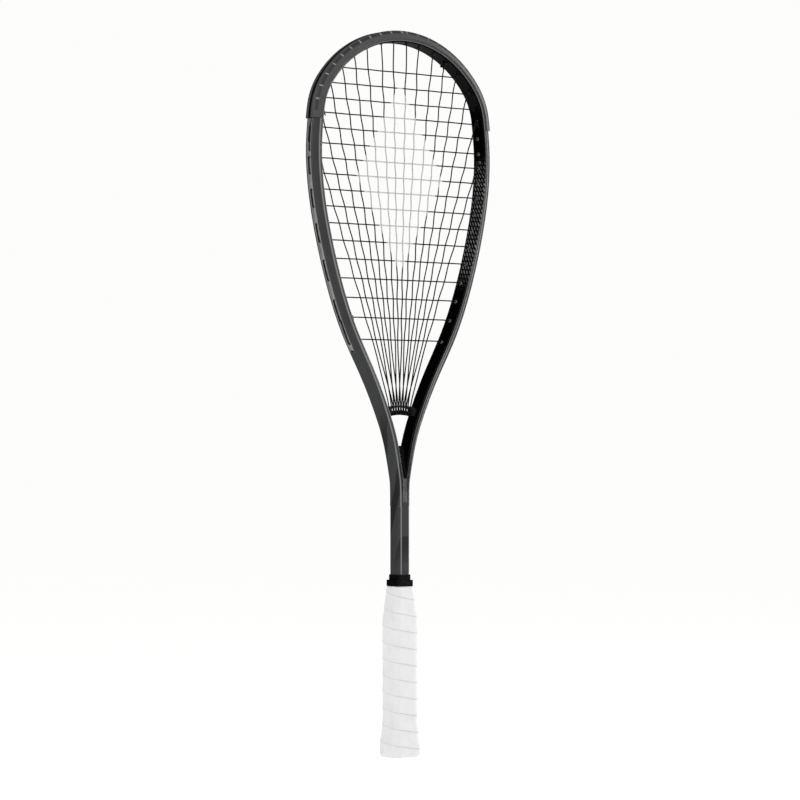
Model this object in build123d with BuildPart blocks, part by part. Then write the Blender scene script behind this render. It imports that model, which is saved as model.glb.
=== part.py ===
from build123d import *
import math
import os

# Squash racket: one-piece hollow carbon hoop and shaft, two strings, a grommet set and a wrapped handle.
# +X lies across the head in the string plane, -Y is the front face and +Z runs from the butt to the crown.
# The origin is the centre of the butt end. All sizes are in millimetres.

# Overall
racketLength = 686.0        # the longest the rules of the game allow
stringDiameter = 1.2
stringOffset = 0.68         # main strings lie this far in front of the mid-plane, cross strings behind it

# Beam of the hoop: centreline from the crown arc through the shoulder arc to the shaft
beamThickness = 9.4         # in the string plane
beamDepth = 19.6            # across the string plane
guardThickness = 1.5        # how far the bumper guard stands out of the beam
crownRadius = 107.0
crownSweep = 54.0           # degrees each side of the crown
shoulderRadius = 62.0
shoulderSweep = 28.0
sidePoints = [(101.0, 568), (98.0, 528), (88.1, 480), (73.5, 432), (58.2, 396),
              (38.4, 360), (20.4, 322), (10.7, 294), (4.5, 264), (3.2, 236)]
softCorner = 0.45           # how far each corner of the section is cut back
legTop = 392.0              # below this the beam tapers into half of the shaft

# String bed
crossHeights = [647, 632, 617.5, 603.5, 589.5, 575, 561, 546.5, 532, 516.5, 501, 485, 468, 450, 432, 413.5, 393]
mainOffsets = [4.1, 12.1, 21.3, 30.1, 39.1, 49.1, 59.8, 70.9]      # half of the mains, at midBedHeight
midBedHeight = 500.0
levelHeight = 384.0         # below this the mains part to the front and back of the yoke
knotRadius = 1.45
looseRadius = 30.0          # bend of a string that only follows the groove

# Throat yoke
yokeHeight = 323.6          # underside of the turning bar at the middle
yokeBarRadius = 1.6
yokeRow = 2.3               # the mains pass this far in front of and behind the bar
yokePitch = 1.47            # spacing of the mains at the yoke
yokeRailHeight = 329.4
yokePivot = 332.0           # the mains leave the yoke here
yokeHalfDepth = 3.7
yokeArch = 2.6              # how far the yoke's ends lie below its middle
yokeReach = 16.0            # half width over which that is measured

# Groove round the outside of the beam, and the grommets that line it
grooveWidth = 6.2
grooveDepth = 2.0
stripWidth = 5.8
stripThickness = 0.9
stripLip = 0.7
fitClearance = 0.05
barrelRadius = 1.6
boreRadius = 0.8
mouthRadius = 1.25          # widened end of each bore, where the string turns into the groove
mouthDepth = 0.5
barrelProud = 0.9
channelWidth = 3.8          # in the bumper guard
guardEndHeight = 597.0
stripEndHeight = 384.0

# Shaft: half width and half depth, and the flats of its eight-sided section
shaftHalf = (6.4, 8.7)
shaftRidge = 4.1
shaftFlank = 6.4
shaftBottom = 14.0
shaftJoin = 240.0
shaftWall = 1.6

# Handle: height, half width, half depth and corner radius of the outside of the overgrip
gripShape = [(0.6, 15.9, 13.7, 6.4), (2.8, 16.6, 14.4, 7.0), (11.0, 16.6, 14.4, 7.0), (33.0, 14.2, 12.4, 6.0),
             (129.0, 14.2, 12.4, 6.0), (148.0, 11.3, 11.5, 4.8), (159.6, 9.3, 10.6, 4.0)]
lipShape = (8.3, 9.9, 3.6)  # the overgrip's top edge, under the collar
lipTop = 163.0
overgripThickness = 0.6
palletShape = [(13.0, 14.4, 12.2, 4.8), (33.0, 12.0, 10.2, 3.8), (129.0, 12.0, 10.2, 3.8), (148.0, 8.6, 9.5, 2.6)]
baseGripTop = 156.0
capWall = 1.9
capFloor = 2.6
capTop = 12.9
stapleWire = 0.7
stapleWidth = 9.0
stapleReach = 3.8
collarShape = (9.5, 10.8, 4.0)
sleeveShape = (7.1, 9.3, 2.8)
collarBottom = 160.4
collarStep = 166.2
collarTop = 171.3

crownCentre = racketLength - guardThickness - beamThickness / 2 - crownRadius
stringRadius = stringDiameter / 2
halfBeam = beamThickness / 2
grooveLine = halfBeam - 0.2                 # strings run this far outside the centreline in the groove
innerMouth = -(halfBeam + 1.6)              # where a string bends as it leaves its barrel


# Centreline of the right half of the hoop, from the crown down to the shaft
with BuildLine(Plane.XZ) as hoopLine:
    crownArc = CenterArc((0, crownCentre), crownRadius, 90, -crownSweep)
    shoulderCentre = (crownArc @ 1) - shoulderRadius * Vector(0, 0, 1).rotate(Axis.Y, crownSweep)
    shoulderArc = CenterArc((shoulderCentre.X, shoulderCentre.Z), shoulderRadius, 90 - crownSweep, -shoulderSweep)
    sideCurve = Spline(shoulderArc @ 1, *sidePoints, tangents=[shoulderArc % 1, (0, -1)])
hoopPath = hoopLine.wire()


def beamPlane(u):
    """Plane across the beam: local x points out of the hoop, local y lies across the string plane."""
    tangent = hoopPath % u
    return Plane(origin=hoopPath @ u, x_dir=(-tangent.Z, 0, tangent.X), z_dir=tangent)


def beamPoint(u, outward, side=1, depth=0.0):
    """Point on the right (side 1) or left (side -1) of the hoop, a distance outside the centreline."""
    plane = beamPlane(u)
    point = plane.origin + outward * plane.x_dir
    return Vector(side * point.X, depth, point.Z)


def solveParameter(test, low=0.0, high=1.0):
    """Place along the centreline where test changes from positive to negative."""
    for _ in range(40):
        middle = (low + high) / 2
        if test(middle) > 0:
            low = middle
        else:
            high = middle
    return (low + high) / 2


def heightParameter(height, outward=0.0):
    return solveParameter(lambda u: beamPoint(u, outward).Z - height)


crossParameters = [heightParameter(height, innerMouth) for height in crossHeights]


def yokePlace(index):
    return yokePitch * (index + 0.5)


def mainSlope(index):
    return (mainOffsets[index] - yokePlace(index)) / (midBedHeight - yokePivot)


def mainParameter(index):
    """Where main string number index, counted from the middle, meets the beam."""
    slope = mainSlope(index)

    def insideLine(u):
        mouth = beamPoint(u, innerMouth)
        return yokePlace(index) + slope * (mouth.Z - yokePivot) - mouth.X
    return solveParameter(insideLine, 0.0, heightParameter(520))


mainParameters = [mainParameter(index) for index in range(len(mainOffsets))]


# ---- sections ----
def softCorners(points, size):
    """Outline points with each corner cut back, so that the beam's long edges are soft."""
    soft = []
    for before, corner, after in zip(points[-1:] + points[:-1], points, points[1:] + points[:1]):
        for neighbour in (before, after):
            away = Vector(*neighbour) - Vector(*corner)
            soft.append(Vector(*corner) + away.normalized() * size)
    return soft


def beamSection(u, halfThickness, halfDepth, ridge, flank):
    """Section of the beam: a flat inner face, narrow front and back ridges and a sloping outer flank."""
    cut = 0.45 * (halfThickness + ridge)
    middle = ((ridge + halfThickness) / 2 + 0.35, (halfDepth + flank) / 2 + 0.35)
    corners = [(-halfThickness, -halfDepth + 1.2 * cut), (-halfThickness + cut, -halfDepth), (ridge, -halfDepth),
               (middle[0], -middle[1]), (halfThickness, -flank)]
    corners += [(out, -deep) for out, deep in reversed(corners)]
    with BuildSketch(beamPlane(u)) as section:
        with BuildLine():
            Polyline(*softCorners(corners, softCorner), close=True)
        make_face()
    return section.sketch.face()


legStart = heightParameter(legTop)
headShape = (halfBeam, beamDepth / 2, -1.6, 4.9)
shaftShape = (shaftHalf[0] / 2, shaftHalf[1], shaftRidge - shaftHalf[0] / 2, shaftFlank)


def legShape(u):
    """Half thickness, half depth, ridge and flank of a leg, part of the way from the hoop to the shaft."""
    along = (u - legStart) / (1 - legStart)
    return [head + (shaft - head) * along for head, shaft in zip(headShape, shaftShape)]


def cavitySection(u, thin=1.0, shallow=1.0):
    """Hollow of the beam, which leaves a thicker wall under the string groove."""
    corners = [(-3.3, -6.9), (-2.2, -8.3), (-1.7, -8.3), (1.2, -6.4), (1.2, 6.4), (-1.7, 8.3), (-2.2, 8.3), (-3.3, 6.9)]
    with BuildSketch(beamPlane(u)) as section:
        with BuildLine():
            Polyline(*[(thin * out, shallow * deep) for out, deep in corners], close=True)
        make_face()
    return section.sketch.face()


def shaftSection(height, grow=0.0):
    """Eight-sided section of the shaft, grown or shrunk evenly."""
    width, depth = shaftHalf[0] + grow, shaftHalf[1] + grow
    ridge, flank = shaftRidge + 0.4 * grow, shaftFlank + 0.4 * grow
    corners = [(-ridge, -depth), (ridge, -depth), (width, -flank), (width, flank),
               (ridge, depth), (-ridge, depth), (-width, flank), (-width, -flank)]
    with BuildSketch(Plane.XY.offset(height)) as section:
        with BuildLine():
            Polyline(*softCorners(corners, softCorner), close=True)
        make_face()
    return section.sketch.face()


def barrelPlane(hole, outward):
    """Plane across a string hole, given as place, side and depth. It faces into the hoop."""
    u, side, depth = hole
    normal = beamPlane(u).x_dir
    return Plane(origin=beamPoint(u, outward, side, depth), x_dir=(0, 1, 0), z_dir=(-side * normal.X, 0, -normal.Z))


def drill(holes, radius, start, end):
    """Round bars through the given holes, from start to end outside the centreline, as one separate part."""
    with BuildPart() as bars:
        for hole in holes:
            with BuildSketch(barrelPlane(hole, start)):
                Circle(radius)
            extrude(amount=start - end)
    return bars.part


front = -stringOffset
back = stringOffset
guardHoles = [(u, side, front) for u in mainParameters[:7] for side in (-1, 1)]
guardHoles += [(u, side, back) for u in crossParameters[:4] for side in (-1, 1)]
guardHoles += [(crossParameters[3], side, front) for side in (-1, 1)]      # tie-off holes of the main string
guardHoles += [(mainParameters[3], 1, back)]                               # upper tie-off of the cross string
stripHoles = {}
for side in (-1, 1):
    stripHoles[side] = [(mainParameters[7], side, front)]
    stripHoles[side] += [(u, side, back) for u in crossParameters[4:]]
stripHoles[-1] += [(crossParameters[15], -1, front)]                       # lower tie-off of the cross string
allHoles = guardHoles + stripHoles[-1] + stripHoles[1]


# ---- frame ----
cavityEnd = heightParameter(268)
grooveEnd = heightParameter(stripEndHeight - 1.5)
grooveFloor = halfBeam - grooveDepth
webBottom = shaftJoin - 2

with BuildPart() as web:
    with BuildSketch(Plane.YZ):
        Polygon((-8.6, webBottom), (8.6, webBottom), (8.6, 262), (0.8, 293), (-0.8, 293), (-8.6, 262), align=None)
    extrude(amount=8, both=True)
    with BuildSketch(Plane.XZ):
        Polygon((-1.0, webBottom), (1.0, webBottom), (1.0, 258), (7.6, 294), (-7.6, 294), (-1.0, 258), align=None)
    extrude(amount=10, both=True, mode=Mode.INTERSECT)

with BuildPart() as hollow:
    sweep(cavitySection(0), path=hoopPath.trim(0, legStart))
    sweep([cavitySection(legStart), cavitySection(cavityEnd, 0.6, 0.86)],
          path=hoopPath.trim(legStart, cavityEnd), multisection=True)
    with BuildSketch(beamPlane(0)):
        with Locations((halfBeam, 0)):
            Rectangle(2 * grooveDepth, grooveWidth)
    sweep(path=hoopPath.trim(0, grooveEnd))
    mirror(about=Plane.YZ)

with BuildPart() as frame:
    sweep(beamSection(0, *headShape), path=hoopPath.trim(0, legStart))
    sweep([beamSection(legStart, *headShape), beamSection(1, *shaftShape)],
          path=hoopPath.trim(legStart, 1), multisection=True)
    mirror(about=Plane.YZ)
    add(shaftSection(shaftBottom))
    extrude(amount=shaftJoin - shaftBottom)
    add(web.part)
    add(hollow.part, mode=Mode.SUBTRACT)
    add(shaftSection(shaftBottom, -shaftWall))
    extrude(amount=shaftJoin - 8 - shaftBottom, mode=Mode.SUBTRACT)
    add(drill(allHoles, barrelRadius + fitClearance, halfBeam, -halfBeam - 0.6), mode=Mode.SUBTRACT)
frame.part.label = "frame"


# ---- grommets ----
def grommetSet(section, startHeight, endHeight, holes, sides):
    """A swept strip with its barrels, drilled for the strings."""
    start = 0 if startHeight is None else heightParameter(startHeight)
    with BuildPart() as strip:
        with BuildSketch(beamPlane(start)):
            with BuildLine():
                Polyline(*section, close=True)
            make_face()
        sweep(path=hoopPath.trim(start, heightParameter(endHeight)))
        if sides == (-1,):
            mirror(about=Plane.YZ, mode=Mode.REPLACE)
        if sides == (-1, 1):
            mirror(about=Plane.YZ)
        add(drill(holes, barrelRadius, grooveFloor + 0.4, -halfBeam - barrelProud))
        add(drill(holes, boreRadius, halfBeam, -halfBeam - barrelProud - 1), mode=Mode.SUBTRACT)
        add(drill(holes, mouthRadius, halfBeam, baseTop - mouthDepth), mode=Mode.SUBTRACT)
    return strip.part


baseBottom = grooveFloor + fitClearance
baseTop = grooveFloor + stripThickness
edge = stripWidth / 2
lipInside = edge - stripLip
lipTopLine = halfBeam - 0.1
stripSection = [(baseBottom, -edge), (lipTopLine, -edge), (lipTopLine, -lipInside), (baseTop, -lipInside),
                (baseTop, lipInside), (lipTopLine, lipInside), (lipTopLine, edge), (baseBottom, edge)]
guardHalf = [(baseTop, channelWidth / 2), (halfBeam + guardThickness, channelWidth / 2),
             (halfBeam + guardThickness, 5.6), (2.9, 8.75), (-0.9, 10.3), (-1.2, 9.95), (1.95, 7.78),
             (halfBeam + fitClearance, 5.0), (halfBeam + fitClearance, edge), (baseBottom, edge)]
guardSection = guardHalf + [(out, -deep) for out, deep in reversed(guardHalf)]

bumperGuard = grommetSet(guardSection, None, guardEndHeight, guardHoles, (-1, 1))
bumperGuard.label = "bumper_guard"
sideStrips = {}
for side, name in ((-1, "left_grommet_strip"), (1, "right_grommet_strip")):
    sideStrips[name] = grommetSet(stripSection, guardEndHeight - 0.5, stripEndHeight, stripHoles[side], (side,))
    sideStrips[name].label = name


# ---- throat yoke ----
yokeBarHeight = yokeHeight + yokeBarRadius
archRadius = (yokeReach ** 2 + yokeArch ** 2) / (2 * yokeArch)


def archDrop(x):
    """How far the yoke's arch has fallen at a distance x from the middle."""
    return archRadius - math.sqrt(archRadius ** 2 - x ** 2)


def legInnerFace(height):
    """Half width of the throat at a height, less a fitting clearance."""
    u = solveParameter(lambda v: beamPoint(v, -legShape(v)[0] - fitClearance).Z - height, legStart, 1)
    return beamPoint(u, -legShape(u)[0] - fitClearance).X


railTop = yokeRailHeight + 1.8
endLow = yokeHeight - yokeArch - 0.3
endHigh = railTop - archDrop(legInnerFace(railTop - 3))
barHalf = yokePlace(7) + 1.6
with BuildPart() as yoke:
    with BuildSketch(Plane.XZ):
        with BuildLine():
            lower = ThreePointArc((-legInnerFace(endLow), endLow), (0, yokeHeight), (legInnerFace(endLow), endLow))
            Line(lower @ 1, (legInnerFace(endHigh), endHigh))
            upper = ThreePointArc((legInnerFace(endHigh), endHigh), (0, railTop), (-legInnerFace(endHigh), endHigh))
            Line(upper @ 1, lower @ 0)
        make_face()
        with BuildLine():
            windowTop = ThreePointArc((-barHalf, yokeRailHeight - archDrop(barHalf)), (0, yokeRailHeight),
                                      (barHalf, yokeRailHeight - archDrop(barHalf)))
            Line(windowTop @ 1, (barHalf, 300))
            Line((barHalf, 300), (-barHalf, 300))
            Line((-barHalf, 300), windowTop @ 0)
        make_face(mode=Mode.SUBTRACT)
    extrude(amount=yokeHalfDepth, both=True)
    with BuildLine(Plane.XZ) as barLine:
        barEnd = barHalf + 1.0
        ThreePointArc((-barEnd, yokeBarHeight - archDrop(barEnd)), (0, yokeBarHeight),
                      (barEnd, yokeBarHeight - archDrop(barEnd)))
    with BuildSketch(Plane(origin=barLine.line @ 0, z_dir=barLine.line % 0)):
        Circle(yokeBarRadius)
    sweep(path=barLine.line)
    for index in range(8):
        for side in (-1, 1):
            row = side * yokeRow * (-1) ** index
            with BuildSketch(Plane.XY.offset(yokeRailHeight - 6)):
                with Locations((side * yokePlace(index), row)):
                    Circle(boreRadius)
            extrude(amount=10, mode=Mode.SUBTRACT)
yoke.part.label = "throat_yoke"


# ---- strings ----
def groovePoints(start, end, startDepth, endDepth):
    """Points of a string along the outer groove, between two holes. Places left of the crown are negative."""
    length = abs(end - start) * hoopPath.length
    count = max(1, round(length / 11))
    points = []
    for step in range(1, count + 1):
        along = step / (count + 1)
        place = start + (end - start) * along
        side = -1 if place < 0 else 1
        points.append((beamPoint(abs(place), grooveLine, side, startDepth + (endDepth - startDepth) * along), looseRadius))
    return points


def holePoints(place, depth, inwards):
    """The two corners that a string makes at a hole: in the groove, and where it leaves the barrel."""
    side = -1 if place < 0 else 1
    corners = [(beamPoint(abs(place), grooveLine, side, depth), 1.2), (beamPoint(abs(place), innerMouth, side, depth), 1.4)]
    return corners if inwards else corners[::-1]


def knotPoint(place, depth):
    """Where a tied-off end stops, beside the string that it is tied to."""
    side = -1 if place < 0 else 1
    return beamPoint(abs(place), innerMouth - 0.9, side, depth + math.copysign(2.3, depth))


def mainPoints(number, downwards):
    """Main string number 0 to 15 from the left, between its hole and the yoke."""
    side = -1 if number < 8 else 1
    index = 7 - number if number < 8 else number - 8
    row = yokeRow if number % 2 == 0 else -yokeRow
    x = side * yokePlace(index)
    level = x + side * mainSlope(index) * (levelHeight - yokePivot)
    turn = yokeBarHeight - archDrop(abs(x)) - yokeRow
    points = [(Vector(level, front, levelHeight), 90), (Vector(x, row, yokePivot), 6), (Vector(x, row, turn), 2.2)]
    return points if downwards else points[::-1]


def stringPart(route, knots):
    """Round string along the route's straight runs and arcs, with a knot at each end."""
    points = [point for point, _ in route]
    radii = [radius for _, radius in route[1:-1]]
    with BuildLine() as line:
        FilletPolyline(*points, radius=radii)
    path = line.wire()
    with BuildPart() as cord:
        with BuildSketch(Plane(origin=path @ 0, z_dir=path % 0)):
            Circle(stringRadius)
        sweep(path=path)
        swept = cord.part.volume
        print("string length", round(path.length), "volume over section times length",
              round(swept / (math.pi * stringRadius ** 2 * path.length), 4), "least radius", min(radii))
        with Locations(*knots):
            Sphere(knotRadius)
    return cord.part


mainPlaces = [-u for u in reversed(mainParameters)] + mainParameters
tiePlace = crossParameters[3]
mainRoute = [(knotPoint(-tiePlace, front), 0)] + holePoints(-tiePlace, front, False)
mainRoute += groovePoints(-tiePlace, mainPlaces[0], front, front)
for number, place in enumerate(mainPlaces):
    downwards = number % 2 == 0
    if downwards:
        mainRoute += holePoints(place, front, True) + mainPoints(number, True)
    else:
        mainRoute += mainPoints(number, False) + holePoints(place, front, False)
        following = mainPlaces[number + 1] if number < 15 else tiePlace
        mainRoute += groovePoints(place, following, front, front)
mainRoute += holePoints(tiePlace, front, True) + [(knotPoint(tiePlace, front), 0)]
mainString = stringPart(mainRoute, [mainRoute[0][0], mainRoute[-1][0]])
mainString.label = "main_string"

upperTie = mainParameters[3]
lowerTie = -crossParameters[15]
crossRoute = [(knotPoint(upperTie, back), 0)] + holePoints(upperTie, back, False)
crossRoute += groovePoints(upperTie, crossParameters[0], back, back)
for number, place in enumerate(crossParameters):
    side = 1 if number % 2 == 0 else -1
    crossRoute += holePoints(side * place, back, True) + holePoints(-side * place, back, False)
    if number < 16:
        crossRoute += groovePoints(-side * place, -side * crossParameters[number + 1], back, back)
crossRoute += groovePoints(-crossParameters[16], lowerTie, back, front)
crossRoute += holePoints(lowerTie, front, True) + [(knotPoint(lowerTie, front), 0)]
crossString = stringPart(crossRoute, [crossRoute[0][0], crossRoute[-1][0]])
crossString.label = "cross_string"


# ---- handle ----
def handleLoft(shape, shrink=0.0):
    """Straight-sided loft through rounded rectangles at the given heights."""
    with BuildPart() as body:
        for height, halfWidth, halfDepth, corner in shape:
            with BuildSketch(Plane.XY.offset(height)):
                RectangleRounded(2 * (halfWidth - shrink), 2 * (halfDepth - shrink), corner - shrink)
        loft(ruled=True)
    return body.part


def handleSleeve(outer, inner):
    with BuildPart() as body:
        add(outer)
        add(inner, mode=Mode.SUBTRACT)
    return body.part


def shaftBar(bottom, top, grow):
    with BuildPart() as body:
        add(shaftSection(bottom, grow))
        extrude(amount=top - bottom)
    return body.part


def gripShapeBetween(bottom, top):
    """Stations of the outside of the grip between two heights."""
    def at(height):
        for low, high in zip(gripShape, gripShape[1:]):
            if low[0] <= height <= high[0]:
                along = (height - low[0]) / (high[0] - low[0])
                return tuple(a + (b - a) * along for a, b in zip(low, high))
    return [at(bottom)] + [station for station in gripShape if bottom < station[0] < top] + [at(top)]


def staple(height, outside, side):
    """Wire staple driven in from the front or back: a crown across the handle and two legs."""
    with BuildPart() as wire:
        with BuildSketch(Plane.XY.offset(height)):
            with Locations((0, side * (outside - stapleReach / 2))):
                Rectangle(stapleWidth, stapleReach)
            with Locations((0, side * (outside - stapleReach / 2 - stapleWire))):
                Rectangle(stapleWidth - 2 * stapleWire, stapleReach, mode=Mode.SUBTRACT)
        extrude(amount=stapleWire)
    return wire.part


def stapleSlot(height, outside, side):
    """Room for a staple: the same shape, grown by the fitting clearance."""
    with BuildPart() as slot:
        with BuildSketch(Plane.XY.offset(height - fitClearance)):
            with Locations((0, side * (outside - stapleReach / 2))):
                Rectangle(stapleWidth + 2 * fitClearance, stapleReach + 2 * fitClearance)
            with Locations((0, side * (outside - stapleReach / 2 - stapleWire))):
                Rectangle(stapleWidth - 2 * stapleWire - 2 * fitClearance, stapleReach, mode=Mode.SUBTRACT)
        extrude(amount=stapleWire + 2 * fitClearance)
    return slot.part


capOutside = handleLoft(gripShapeBetween(0.6, capTop), overgripThickness + fitClearance)
capInside = handleLoft([(capFloor, *gripShape[1][1:]), (capTop, *gripShapeBetween(capTop, 20)[0][1:])],
                       overgripThickness + fitClearance + capWall)
staples = [(8.0, 13.6, -1), (8.0, 13.6, 1)]
gripStaple = (22.0, 12.65, -1)

with BuildPart() as buttCap:
    with BuildSketch():
        RectangleRounded(2 * 15.0, 2 * 12.8, 5.6)
    extrude(amount=0.6)
    add(capOutside)
    add(capInside, mode=Mode.SUBTRACT)
    for place in staples:
        add(stapleSlot(*place), mode=Mode.SUBTRACT)
buttCap.part.label = "butt_cap"

with BuildPart() as pallet:
    add(handleLoft(palletShape))
    add(handleLoft([(capFloor + 0.05, *gripShape[1][1:]), (13.0, *gripShapeBetween(capTop, 20)[0][1:])],
                   overgripThickness + 2 * fitClearance + capWall))
    add(shaftBar(shaftBottom - 0.03, 160, 0.03), mode=Mode.SUBTRACT)
    for place in staples + [gripStaple]:
        add(stapleSlot(*place), mode=Mode.SUBTRACT)
pallet.part.label = "handle_pallet"

baseOutside = handleLoft(gripShapeBetween(13.0, baseGripTop), overgripThickness + fitClearance)
baseInside = handleLoft([(13.0, *palletShape[0][1:])] + palletShape[1:] + [(baseGripTop, 6.9, 9.05, 2.4)], -fitClearance)
with BuildPart() as baseGrip:
    add(baseOutside)
    add(baseInside, mode=Mode.SUBTRACT)
    add(stapleSlot(*gripStaple), mode=Mode.SUBTRACT)
baseGrip.part.label = "base_grip"

overgrip = handleSleeve(handleLoft(gripShape + [(160.2, *lipShape), (lipTop, *lipShape)]),
                        handleLoft(gripShape + [(160.2, *lipShape), (lipTop, *lipShape)], overgripThickness))
overgrip.label = "overgrip"

finishingTape = handleSleeve(shaftBar(baseGripTop + 0.1, 165, 0.25), shaftBar(baseGripTop + 0.1, 165, 0.03))
finishingTape.label = "finishing_tape"

tapeBand = [(160.6, *lipShape), (lipTop, *lipShape)]
overgripTape = handleSleeve(handleLoft(tapeBand, -0.2), handleLoft(tapeBand, -0.03))
overgripTape.label = "overgrip_tape"

with BuildPart() as collar:
    add(handleLoft([(collarBottom, *collarShape), (collarStep, *collarShape)]))
    add(handleLoft([(collarStep, *sleeveShape), (collarTop, *sleeveShape)]))
    add(handleLoft([(collarBottom, *lipShape), (lipTop + 0.3, *lipShape)], -0.25), mode=Mode.SUBTRACT)
    add(shaftBar(collarBottom, collarTop, 0.3), mode=Mode.SUBTRACT)
collar.part.label = "rubber_collar"

with BuildPart() as buttStaples:
    for place in staples:
        add(staple(*place))
buttStaples.part.label = "butt_cap_staples"

with BuildPart() as gripTack:
    add(staple(*gripStaple))
gripTack.part.label = "base_grip_staple"


# ---- hand over ----
os.makedirs("parts", exist_ok=True)
pieces = [frame.part, bumperGuard, *sideStrips.values(), yoke.part, mainString, crossString, pallet.part,
          buttCap.part, buttStaples.part, baseGrip.part, gripTack.part, finishingTape, overgrip, overgripTape,
          collar.part]
for piece in pieces:
    print(piece.label, len(piece.solids()), piece.is_valid, round(piece.volume))
    export_step(piece, f"parts/{piece.label}.step")
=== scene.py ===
import math

import bpy
import numpy as np
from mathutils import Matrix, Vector


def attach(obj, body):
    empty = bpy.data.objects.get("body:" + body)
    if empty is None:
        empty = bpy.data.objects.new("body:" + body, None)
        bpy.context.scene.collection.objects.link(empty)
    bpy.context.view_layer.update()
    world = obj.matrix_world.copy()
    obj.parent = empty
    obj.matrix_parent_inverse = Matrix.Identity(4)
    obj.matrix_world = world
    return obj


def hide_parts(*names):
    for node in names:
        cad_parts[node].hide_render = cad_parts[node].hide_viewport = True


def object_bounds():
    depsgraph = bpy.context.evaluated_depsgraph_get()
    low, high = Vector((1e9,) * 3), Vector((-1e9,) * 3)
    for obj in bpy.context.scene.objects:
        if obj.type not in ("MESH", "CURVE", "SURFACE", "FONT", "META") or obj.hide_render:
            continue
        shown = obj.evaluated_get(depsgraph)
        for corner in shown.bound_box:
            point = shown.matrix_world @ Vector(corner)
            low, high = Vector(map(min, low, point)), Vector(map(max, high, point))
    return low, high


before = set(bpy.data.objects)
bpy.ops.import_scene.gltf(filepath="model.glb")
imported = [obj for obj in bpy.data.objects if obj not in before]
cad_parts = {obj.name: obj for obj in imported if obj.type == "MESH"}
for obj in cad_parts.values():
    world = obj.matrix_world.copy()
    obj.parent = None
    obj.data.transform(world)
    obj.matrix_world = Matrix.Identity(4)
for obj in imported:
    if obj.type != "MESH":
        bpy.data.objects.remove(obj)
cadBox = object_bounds()
mm = 0.001
print("frame loaded")

# Squash racket: +X lies across the head, -Y is the front face and +Z runs from the butt to the crown.
hoop = {
    "beam": 9.4 * mm,                     # thickness in the string plane
    "guard": 1.5 * mm,                    # how far the bumper guard stands out of the beam
    "crownRadius": 107 * mm,
    "crownSweep": math.radians(54),
    "shoulderRadius": 62 * mm,
    "shoulderSweep": math.radians(28),
    # mm to the right and up, from the shoulder down to the shaft
    "side": [(101, 568), (98, 528), (88.1, 480), (73.5, 432), (58.2, 396), (38.4, 360), (20.4, 322),
             (10.7, 294), (4.5, 264)],
}


def hoopLine():
    # centreline of the hoop's right half in steps of about 1 mm, from the crown down, with its outward normals
    top = cadBox[1].z
    crownZ = top - hoop["guard"] - hoop["beam"] / 2 - hoop["crownRadius"]
    points = []
    for angle in np.linspace(0, hoop["crownSweep"], 101):
        points.append((hoop["crownRadius"] * math.sin(angle), crownZ + hoop["crownRadius"] * math.cos(angle)))
    reach = hoop["crownRadius"] - hoop["shoulderRadius"]
    shoulder = (reach * math.sin(hoop["crownSweep"]), crownZ + reach * math.cos(hoop["crownSweep"]))
    for angle in hoop["crownSweep"] + np.linspace(0.03, hoop["shoulderSweep"], 30):
        points.append((shoulder[0] + hoop["shoulderRadius"] * math.sin(angle),
                       shoulder[1] + hoop["shoulderRadius"] * math.cos(angle)))
    knots = [points[-8], points[-1]] + [(x * mm, z * mm) for x, z in hoop["side"]]
    for before, start, end, after in zip(knots, knots[1:], knots[2:], knots[3:]):
        before, start, end, after = (np.array(knot) for knot in (before, start, end, after))
        span = np.linalg.norm(end - start)
        startPull = (end - before) / (np.linalg.norm(start - before) + span) * span
        endPull = (after - start) / (np.linalg.norm(after - end) + span) * span
        for t in np.linspace(0, 1, max(2, round(span / mm)) + 1)[1:]:
            points.append(tuple((2 * t**3 - 3 * t**2 + 1) * start + (t**3 - 2 * t**2 + t) * startPull
                                + (3 * t**2 - 2 * t**3) * end + (t**3 - t**2) * endPull))
    line = np.array(points)
    along = np.concatenate([[0], np.cumsum(np.linalg.norm(np.diff(line, axis=0), axis=1))])
    tangent = np.gradient(line, axis=0)
    tangent /= np.linalg.norm(tangent, axis=1)[:, None]
    return line, along, np.stack([-tangent[:, 1], tangent[:, 0]], axis=1)


beamLine, beamAlong, beamOut = hoopLine()


def beamPoint(place, outward, depth=0.0):
    # place is the distance from the crown along the centreline, negative on the left
    side = -1 if place < 0 else 1
    x, z = (np.interp(abs(place), beamAlong, beamLine[:, axis] + outward * beamOut[:, axis]) for axis in (0, 1))
    return Vector((side * x, depth, z))


def placeAt(height, outward=0.0):
    heights = beamLine[:, 1] + outward * beamOut[:, 1]
    return float(np.interp(-height, -heights, beamAlong))


def linear(hexValue):
    # sRGB hex to the linear colour that the shaders use
    channels = [int(hexValue[i:i + 2], 16) / 255 for i in (1, 3, 5)]
    return [c / 12.92 if c <= 0.04045 else ((c + 0.055) / 1.055) ** 2.4 for c in channels] + [1.0]


# the setting that says what each kind of node does
modeNames = {
    "Math": "operation", "VectorMath": "operation", "Mix": "data_type", "MapRange": "interpolation_type",
    "VectorRotate": "rotation_type", "TexBrick": "offset", "TexWave": "bands_direction",
    "TexVoronoi": "feature", "Attribute": "attribute_name", "Bevel": "samples",
}


def feed(tree, socket, value):
    # a socket takes a value, or a link from another node's output
    if isinstance(value, bpy.types.NodeSocket):
        tree.links.new(value, socket)
    else:
        socket.default_value = value


def addNode(tree, kind, mode=None, *inputs, output=None, **named):
    # one node with its mode and its inputs, in order or by name; gives its first output unless another is named
    node = tree.nodes.new("ShaderNode" + kind)
    if mode is not None:
        setattr(node, modeNames[kind], mode)
    for socket, value in zip([socket for socket in node.inputs if socket.enabled], inputs):
        feed(tree, socket, value)
    for name, value in named.items():
        feed(tree, node.inputs[name.replace("_", " ")], value)
    return node.outputs[output] if output else next(socket for socket in node.outputs if socket.enabled)


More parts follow.
